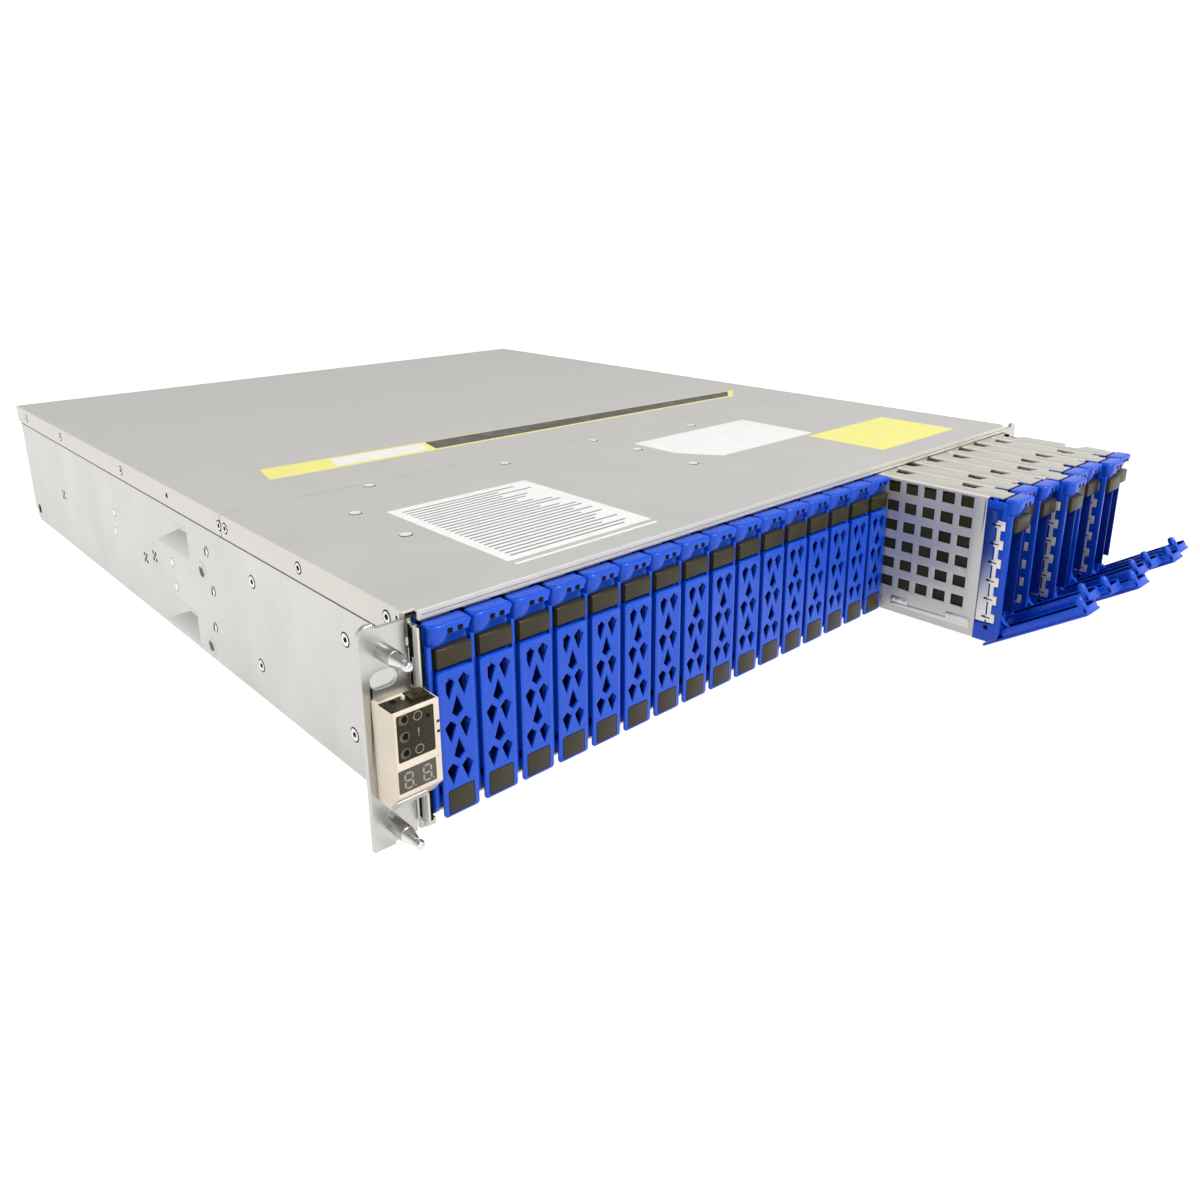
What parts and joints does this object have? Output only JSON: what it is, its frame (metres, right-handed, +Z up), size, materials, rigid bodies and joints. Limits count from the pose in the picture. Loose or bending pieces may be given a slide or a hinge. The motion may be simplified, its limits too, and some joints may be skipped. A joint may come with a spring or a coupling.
{
  "type": "rack storage array",
  "caption": "Low rack-mount storage chassis with a row of upright drive carriers that slide out on swinging levers, and plug-in controllers and power supplies behind.",
  "frame": {"origin": "centre of the chassis body's underside", "axes": "+X to the right seen from the front, -Y out of the front, +Z up"},
  "size_m": [0.4826, 0.6632, 0.089],
  "materials": {
    "zinc_steel": "satin zinc plate",
    "stud_metal": "turned, bright",
    "display_plastic": "smooth",
    "guide_plastic": "moulded",
    "circuit_board": "coated board",
    "module_steel": "satin zinc plate",
    "blue_plastic": "smooth moulded"
  },
  "bodies": {
    "chassis": {"chassis_base": "zinc_steel", "front_top_cover": "zinc_steel", "rear_top_cover": "zinc_steel", "rack_ears": "zinc_steel", "bezel_studs": "stud_metal", "display_module": "display_plastic", "drive_guides": "guide_plastic", "midplane_board": "circuit_board"},
    "carrier_01": {"drive_carrier_01": "blue_plastic"},
    "lever_01": {"drive_lever_01": "blue_plastic"},
    "carrier_02": {"drive_carrier_02": "blue_plastic"},
    "lever_02": {"drive_lever_02": "blue_plastic"},
    "carrier_03": {"drive_carrier_03": "blue_plastic"},
    "lever_03": {"drive_lever_03": "blue_plastic"},
    "carrier_04": {"drive_carrier_04": "blue_plastic"},
    "lever_04": {"drive_lever_04": "blue_plastic"},
    "carrier_05": {"drive_carrier_05": "blue_plastic"},
    "lever_05": {"drive_lever_05": "blue_plastic"},
    "carrier_06": {"drive_carrier_06": "blue_plastic"},
    "lever_06": {"drive_lever_06": "blue_plastic"},
    "carrier_07": {"drive_carrier_07": "blue_plastic"},
    "lever_07": {"drive_lever_07": "blue_plastic"},
    "carrier_08": {"drive_carrier_08": "blue_plastic"},
    "lever_08": {"drive_lever_08": "blue_plastic"},
    "carrier_09": {"drive_carrier_09": "blue_plastic"},
    "lever_09": {"drive_lever_09": "blue_plastic"},
    "carrier_10": {"drive_carrier_10": "blue_plastic"},
    "lever_10": {"drive_lever_10": "blue_plastic"},
    "carrier_11": {"drive_carrier_11": "blue_plastic"},
    "lever_11": {"drive_lever_11": "blue_plastic"},
    "carrier_12": {"drive_carrier_12": "blue_plastic"},
    "lever_12": {"drive_lever_12": "blue_plastic"},
    "carrier_13": {"drive_carrier_13": "blue_plastic"},
    "lever_13": {"drive_lever_13": "blue_plastic"},
    "carrier_14": {"drive_carrier_14": "blue_plastic"},
    "lever_14": {"drive_lever_14": "blue_plastic"},
    "carrier_15": {"drive_carrier_15": "blue_plastic"},
    "lever_15": {"drive_lever_15": "blue_plastic"},
    "carrier_16": {"drive_carrier_16": "blue_plastic"},
    "lever_16": {"drive_lever_16": "blue_plastic"},
    "carrier_17": {"drive_carrier_17": "blue_plastic"},
    "lever_17": {"drive_lever_17": "blue_plastic"},
    "carrier_18": {"drive_carrier_18": "blue_plastic"},
    "lever_18": {"drive_lever_18": "blue_plastic"},
    "carrier_19": {"drive_carrier_19": "blue_plastic"},
    "lever_19": {"drive_lever_19": "blue_plastic"},
    "carrier_20": {"drive_carrier_20": "blue_plastic"},
    "lever_20": {"drive_lever_20": "blue_plastic"},
    "carrier_21": {"drive_carrier_21": "blue_plastic"},
    "lever_21": {"drive_lever_21": "blue_plastic"},
    "carrier_22": {"drive_carrier_22": "blue_plastic"},
    "lever_22": {"drive_lever_22": "blue_plastic"},
    "carrier_23": {"drive_carrier_23": "blue_plastic"},
    "lever_23": {"drive_lever_23": "blue_plastic"},
    "carrier_24": {"drive_carrier_24": "blue_plastic"},
    "lever_24": {"drive_lever_24": "blue_plastic"},
    "controller_lower_body": {"controller_lower": "module_steel"},
    "controller_upper_body": {"controller_upper": "module_steel"},
    "power_supply_left_body": {"power_supply_left": "module_steel"},
    "power_supply_right_body": {"power_supply_right": "module_steel"}
  },
  "joints": [
    {"name": "carrier_01_slide", "type": "slide", "parent": "chassis", "child": "carrier_01", "axis": [0, -1, 0], "range_m": [0, 0.125]},
    {"name": "lever_01_hinge", "type": "hinge", "parent": "carrier_01", "child": "lever_01", "pos_m": [-0.21045, -0.2632, 0.0122], "axis": [1, 0, 0], "range_deg": [0, 56.5]},
    {"name": "carrier_02_slide", "type": "slide", "parent": "chassis", "child": "carrier_02", "axis": [0, -1, 0], "range_m": [0, 0.125]},
    {"name": "lever_02_hinge", "type": "hinge", "parent": "carrier_02", "child": "lever_02", "pos_m": [-0.19215, -0.2632, 0.0122], "axis": [1, 0, 0], "range_deg": [0, 56.5]},
    {"name": "carrier_03_slide", "type": "slide", "parent": "chassis", "child": "carrier_03", "axis": [0, -1, 0], "range_m": [0, 0.125]},
    {"name": "lever_03_hinge", "type": "hinge", "parent": "carrier_03", "child": "lever_03", "pos_m": [-0.17385, -0.2632, 0.0122], "axis": [1, 0, 0], "range_deg": [0, 56.5]},
    {"name": "carrier_04_slide", "type": "slide", "parent": "chassis", "child": "carrier_04", "axis": [0, -1, 0], "range_m": [0, 0.125]},
    {"name": "lever_04_hinge", "type": "hinge", "parent": "carrier_04", "child": "lever_04", "pos_m": [-0.15555, -0.2632, 0.0122], "axis": [1, 0, 0], "range_deg": [0, 56.5]},
    {"name": "carrier_05_slide", "type": "slide", "parent": "chassis", "child": "carrier_05", "axis": [0, -1, 0], "range_m": [0, 0.125]},
    {"name": "lever_05_hinge", "type": "hinge", "parent": "carrier_05", "child": "lever_05", "pos_m": [-0.13725, -0.2632, 0.0122], "axis": [1, 0, 0], "range_deg": [0, 56.5]},
    {"name": "carrier_06_slide", "type": "slide", "parent": "chassis", "child": "carrier_06", "axis": [0, -1, 0], "range_m": [0, 0.125]},
    {"name": "lever_06_hinge", "type": "hinge", "parent": "carrier_06", "child": "lever_06", "pos_m": [-0.11895, -0.2632, 0.0122], "axis": [1, 0, 0], "range_deg": [0, 56.5]},
    {"name": "carrier_07_slide", "type": "slide", "parent": "chassis", "child": "carrier_07", "axis": [0, -1, 0], "range_m": [0, 0.125]},
    {"name": "lever_07_hinge", "type": "hinge", "parent": "carrier_07", "child": "lever_07", "pos_m": [-0.10065, -0.2632, 0.0122], "axis": [1, 0, 0], "range_deg": [0, 56.5]},
    {"name": "carrier_08_slide", "type": "slide", "parent": "chassis", "child": "carrier_08", "axis": [0, -1, 0], "range_m": [0, 0.125]},
    {"name": "lever_08_hinge", "type": "hinge", "parent": "carrier_08", "child": "lever_08", "pos_m": [-0.08235, -0.2632, 0.0122], "axis": [1, 0, 0], "range_deg": [0, 56.5]},
    {"name": "carrier_09_slide", "type": "slide", "parent": "chassis", "child": "carrier_09", "axis": [0, -1, 0], "range_m": [0, 0.125]},
    {"name": "lever_09_hinge", "type": "hinge", "parent": "carrier_09", "child": "lever_09", "pos_m": [-0.06405, -0.2632, 0.0122], "axis": [1, 0, 0], "range_deg": [0, 56.5]},
    {"name": "carrier_10_slide", "type": "slide", "parent": "chassis", "child": "carrier_10", "axis": [0, -1, 0], "range_m": [0, 0.125]},
    {"name": "lever_10_hinge", "type": "hinge", "parent": "carrier_10", "child": "lever_10", "pos_m": [-0.04575, -0.2632, 0.0122], "axis": [1, 0, 0], "range_deg": [0, 56.5]},
    {"name": "carrier_11_slide", "type": "slide", "parent": "chassis", "child": "carrier_11", "axis": [0, -1, 0], "range_m": [0, 0.125]},
    {"name": "lever_11_hinge", "type": "hinge", "parent": "carrier_11", "child": "lever_11", "pos_m": [-0.02745, -0.2632, 0.0122], "axis": [1, 0, 0], "range_deg": [0, 56.5]},
    {"name": "carrier_12_slide", "type": "slide", "parent": "chassis", "child": "carrier_12", "axis": [0, -1, 0], "range_m": [0, 0.125]},
    {"name": "lever_12_hinge", "type": "hinge", "parent": "carrier_12", "child": "lever_12", "pos_m": [-0.00915, -0.2632, 0.0122], "axis": [1, 0, 0], "range_deg": [0, 56.5]},
    {"name": "carrier_13_slide", "type": "slide", "parent": "chassis", "child": "carrier_13", "axis": [0, -1, 0], "range_m": [0, 0.125]},
    {"name": "lever_13_hinge", "type": "hinge", "parent": "carrier_13", "child": "lever_13", "pos_m": [0.00915, -0.2632, 0.0122], "axis": [1, 0, 0], "range_deg": [0, 56.5]},
    {"name": "carrier_14_slide", "type": "slide", "parent": "chassis", "child": "carrier_14", "axis": [0, -1, 0], "range_m": [0, 0.125]},
    {"name": "lever_14_hinge", "type": "hinge", "parent": "carrier_14", "child": "lever_14", "pos_m": [0.02745, -0.2632, 0.0122], "axis": [1, 0, 0], "range_deg": [0, 56.5]},
    {"name": "carrier_15_slide", "type": "slide", "parent": "chassis", "child": "carrier_15", "axis": [0, -1, 0], "range_m": [0, 0.125]},
    {"name": "lever_15_hinge", "type": "hinge", "parent": "carrier_15", "child": "lever_15", "pos_m": [0.04575, -0.2632, 0.0122], "axis": [1, 0, 0], "range_deg": [0, 56.5]},
    {"name": "carrier_16_slide", "type": "slide", "parent": "chassis", "child": "carrier_16", "axis": [0, -1, 0], "range_m": [0, 0.125]},
    {"name": "lever_16_hinge", "type": "hinge", "parent": "carrier_16", "child": "lever_16", "pos_m": [0.06405, -0.2632, 0.0122], "axis": [1, 0, 0], "range_deg": [0, 56.5]},
    {"name": "carrier_17_slide", "type": "slide", "parent": "chassis", "child": "carrier_17", "axis": [0, -1, 0], "range_m": [-0.0697, 0.0553]},
    {"name": "lever_17_hinge", "type": "hinge", "parent": "carrier_17", "child": "lever_17", "pos_m": [0.08235, -0.3329, 0.0122], "axis": [1, 0, 0], "range_deg": [-56.5, 0]},
    {"name": "carrier_18_slide", "type": "slide", "parent": "chassis", "child": "carrier_18", "axis": [0, -1, 0], "range_m": [-0.0634, 0.0616]},
    {"name": "lever_18_hinge", "type": "hinge", "parent": "carrier_18", "child": "lever_18", "pos_m": [0.10065, -0.3266, 0.0122], "axis": [1, 0, 0], "range_deg": [-56.5, 0]},
    {"name": "carrier_19_slide", "type": "slide", "parent": "chassis", "child": "carrier_19", "axis": [0, -1, 0], "range_m": [-0.0669, 0.0581]},
    {"name": "lever_19_hinge", "type": "hinge", "parent": "carrier_19", "child": "lever_19", "pos_m": [0.11895, -0.3301, 0.0122], "axis": [1, 0, 0], "range_deg": [-56.5, 0]},
    {"name": "carrier_20_slide", "type": "slide", "parent": "chassis", "child": "carrier_20", "axis": [0, -1, 0], "range_m": [-0.0734, 0.0516]},
    {"name": "lever_20_hinge", "type": "hinge", "parent": "carrier_20", "child": "lever_20", "pos_m": [0.13725, -0.3366, 0.0122], "axis": [1, 0, 0], "range_deg": [-56.5, 0]},
    {"name": "carrier_21_slide", "type": "slide", "parent": "chassis", "child": "carrier_21", "axis": [0, -1, 0], "range_m": [-0.0671, 0.0579]},
    {"name": "lever_21_hinge", "type": "hinge", "parent": "carrier_21", "child": "lever_21", "pos_m": [0.15555, -0.3303, 0.0122], "axis": [1, 0, 0], "range_deg": [-56.5, 0]},
    {"name": "carrier_22_slide", "type": "slide", "parent": "chassis", "child": "carrier_22", "axis": [0, -1, 0], "range_m": [-0.0673, 0.0577]},
    {"name": "lever_22_hinge", "type": "hinge", "parent": "carrier_22", "child": "lever_22", "pos_m": [0.17385, -0.3305, 0.0122], "axis": [1, 0, 0], "range_deg": [-56.5, 0]},
    {"name": "carrier_23_slide", "type": "slide", "parent": "chassis", "child": "carrier_23", "axis": [0, -1, 0], "range_m": [-0.072, 0.053]},
    {"name": "lever_23_hinge", "type": "hinge", "parent": "carrier_23", "child": "lever_23", "pos_m": [0.19215, -0.3352, 0.0122], "axis": [1, 0, 0], "range_deg": [-56.5, 0]},
    {"name": "carrier_24_slide", "type": "slide", "parent": "chassis", "child": "carrier_24", "axis": [0, -1, 0], "range_m": [-0.069, 0.056]},
    {"name": "lever_24_hinge", "type": "hinge", "parent": "carrier_24", "child": "lever_24", "pos_m": [0.21045, -0.3322, 0.0122], "axis": [1, 0, 0], "range_deg": [-56.5, 0]},
    {"name": "controller_lower_slide", "type": "slide", "parent": "chassis", "child": "controller_lower_body", "axis": [0, 1, 0], "range_m": [0, 0.352]},
    {"name": "controller_upper_slide", "type": "slide", "parent": "chassis", "child": "controller_upper_body", "axis": [0, 1, 0], "range_m": [0, 0.352]},
    {"name": "power_supply_left_slide", "type": "slide", "parent": "chassis", "child": "power_supply_left_body", "axis": [0, 1, 0], "range_m": [0, 0.28]},
    {"name": "power_supply_right_slide", "type": "slide", "parent": "chassis", "child": "power_supply_right_body", "axis": [0, 1, 0], "range_m": [0, 0.28]}
  ]
}
